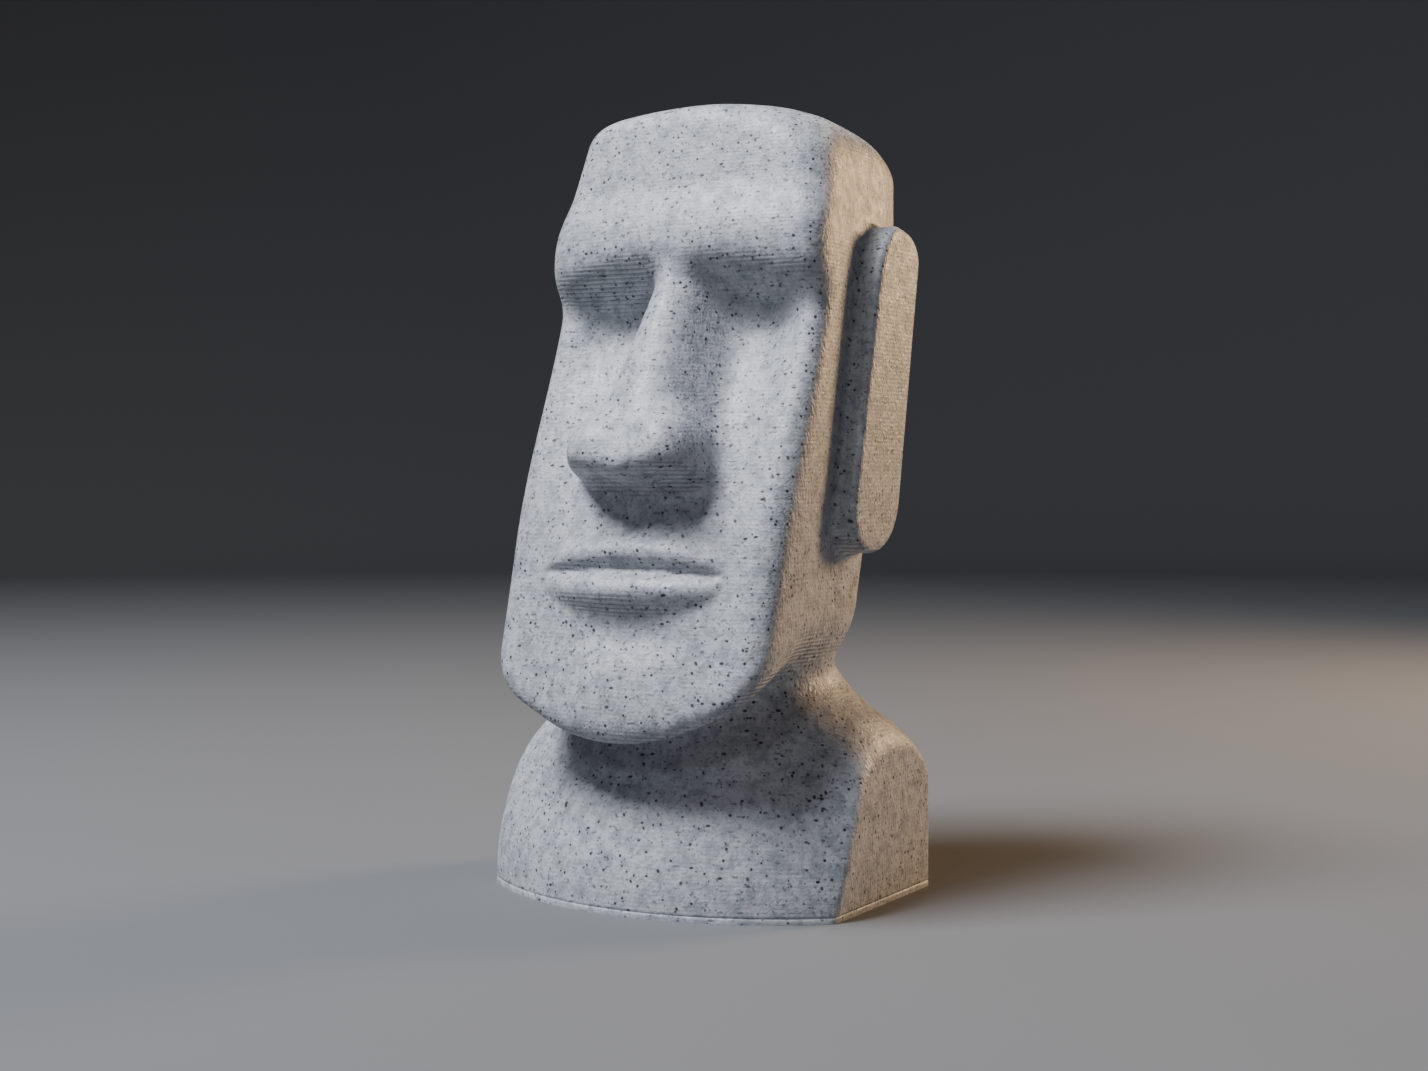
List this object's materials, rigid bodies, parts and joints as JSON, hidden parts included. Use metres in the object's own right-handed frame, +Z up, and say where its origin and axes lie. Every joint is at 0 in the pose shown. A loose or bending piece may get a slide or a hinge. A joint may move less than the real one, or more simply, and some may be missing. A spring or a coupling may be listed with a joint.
{
  "type": "moai head figurine",
  "caption": "Small printed moai bust: a long block head with heavy brow, straight nose, closed lips and slab ears, leaning back on a low plinth.",
  "frame": {"origin": "middle of the box round the figure, on the flat underside it stands on", "axes": "+Z up, the face looks along -Y, +X to the left hand of the figure"},
  "size_m": [0.0308, 0.0272, 0.06],
  "materials": {
    "marble_print": "satin marble-filled plastic, printed in fine level layers, pale grey with fine dark specks"
  },
  "bodies": {
    "root": {"moai_bust": "marble_print"}
  },
  "joints": []
}
